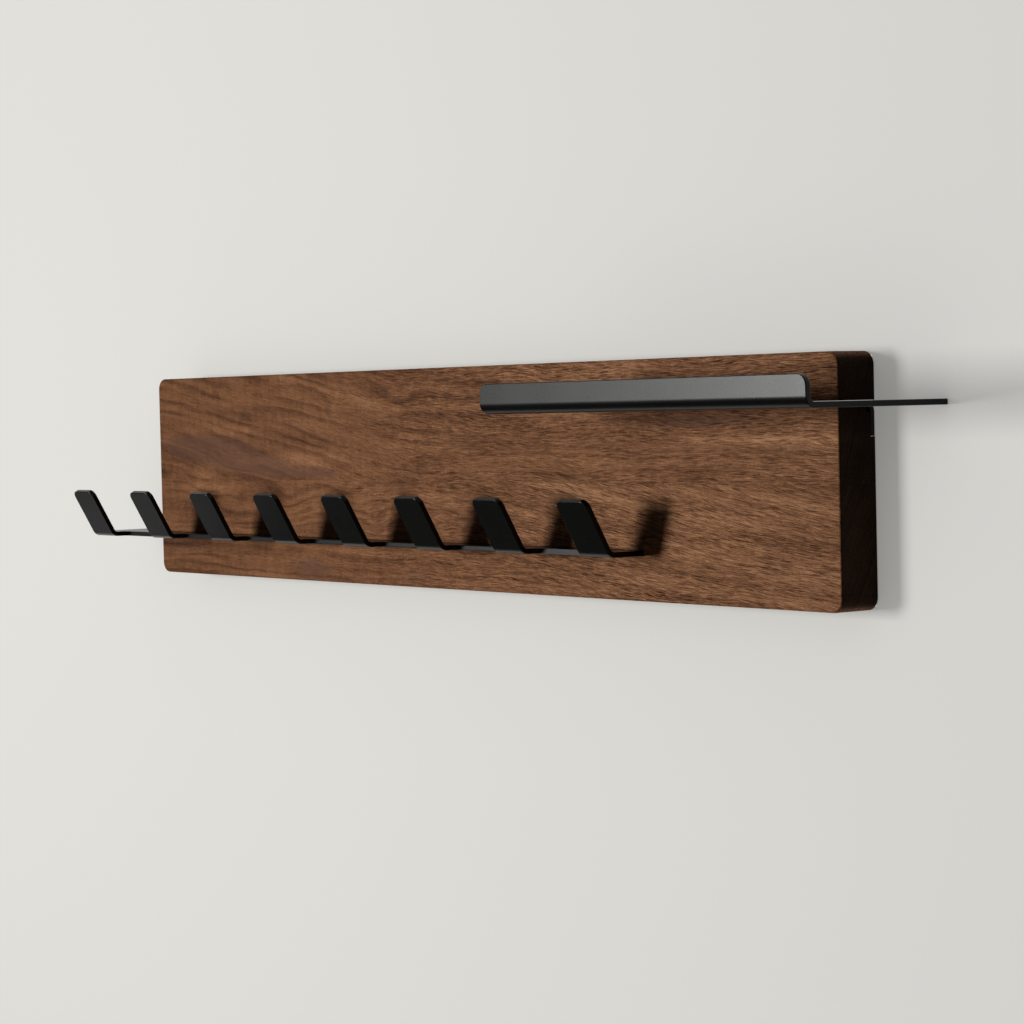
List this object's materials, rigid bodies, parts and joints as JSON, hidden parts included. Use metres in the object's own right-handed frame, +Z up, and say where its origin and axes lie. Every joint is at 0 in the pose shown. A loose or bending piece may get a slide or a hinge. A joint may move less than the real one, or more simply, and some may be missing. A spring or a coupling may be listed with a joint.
{
  "type": "wall hook rack",
  "caption": "Long walnut wall board with a black bent-steel strip of upturned leaning hooks and a black steel shelf with an upturned lip.",
  "frame": {"origin": "centre of the board's back face, on the wall", "axes": "+X right along the wall, +Y into the wall, +Z up"},
  "size_m": [0.762, 0.0956, 0.131],
  "materials": {
    "walnut": "oiled black walnut, satin",
    "powder_coat": "fine satin black powder coat on 3 mm steel",
    "zinc": "bright zinc plating",
    "hanger_steel": "plain bright pressed steel"
  },
  "bodies": {
    "root": {"stave_upper": "walnut", "stave_lower": "walnut", "hook_strip": "powder_coat", "shelf": "powder_coat", "strip_screw_1": "zinc", "strip_screw_2": "zinc", "strip_screw_3": "zinc", "strip_screw_4": "zinc", "strip_screw_5": "zinc", "strip_screw_6": "zinc", "strip_screw_7": "zinc", "shelf_screw_1": "zinc", "shelf_screw_2": "zinc", "shelf_screw_3": "zinc", "hanger_left": "hanger_steel", "hanger_left_screw_left": "zinc", "hanger_left_screw_right": "zinc", "hanger_right": "hanger_steel", "hanger_right_screw_left": "zinc", "hanger_right_screw_right": "zinc"}
  },
  "joints": []
}
